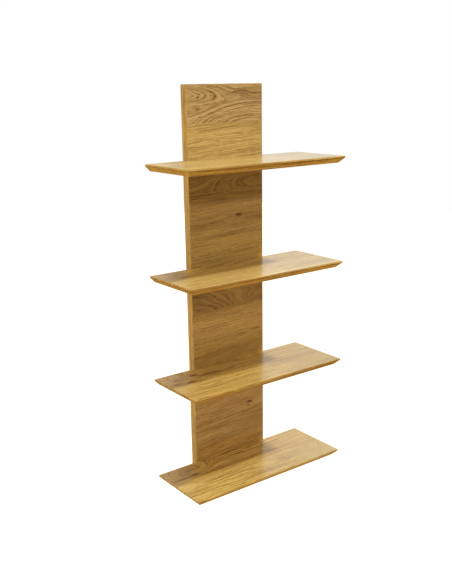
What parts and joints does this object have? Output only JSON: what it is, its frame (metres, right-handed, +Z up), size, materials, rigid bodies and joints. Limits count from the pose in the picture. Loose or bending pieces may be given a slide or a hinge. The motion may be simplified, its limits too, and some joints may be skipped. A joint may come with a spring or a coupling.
{
  "type": "wall shelf",
  "caption": "Wall-hung shelf: an upright oak-veneered panel carries level boards with undercut edges, dowelled and screwed from behind, and hangs on keyhole plates.",
  "frame": {"origin": "on the wall plane, midway between the round entries of the two keyholes in the panel's back", "axes": "+X along the shelves, to the right as seen from the room; +Y towards the wall; +Z up"},
  "size_m": [0.6, 0.258, 1.267],
  "materials": {
    "oak_veneer": "satin lacquered oak veneer",
    "oak_edge_band": "satin lacquered oak edge band",
    "beech": "bare beech",
    "zinc_plated_steel": "zinc plated"
  },
  "bodies": {
    "root": {"back_panel": "oak_veneer", "bottom_shelf": "oak_veneer", "lower_shelf": "oak_veneer", "top_shelf": "oak_veneer", "upper_shelf": "oak_veneer", "bottom_shelf_back_edge": "oak_edge_band", "lower_shelf_back_edge": "oak_edge_band", "panel_edge_bottom": "oak_edge_band", "panel_edge_left": "oak_edge_band", "panel_edge_right": "oak_edge_band", "panel_edge_top": "oak_edge_band", "top_shelf_back_edge": "oak_edge_band", "upper_shelf_back_edge": "oak_edge_band", "bottom_shelf_dowels": "beech", "lower_shelf_dowels": "beech", "top_shelf_dowels": "beech", "upper_shelf_dowels": "beech", "bottom_shelf_screws": "zinc_plated_steel", "hanger_plate_left": "zinc_plated_steel", "hanger_plate_right": "zinc_plated_steel", "hanger_screws_left": "zinc_plated_steel", "hanger_screws_right": "zinc_plated_steel", "lower_shelf_screws": "zinc_plated_steel", "top_shelf_screws": "zinc_plated_steel", "upper_shelf_screws": "zinc_plated_steel"}
  },
  "joints": []
}
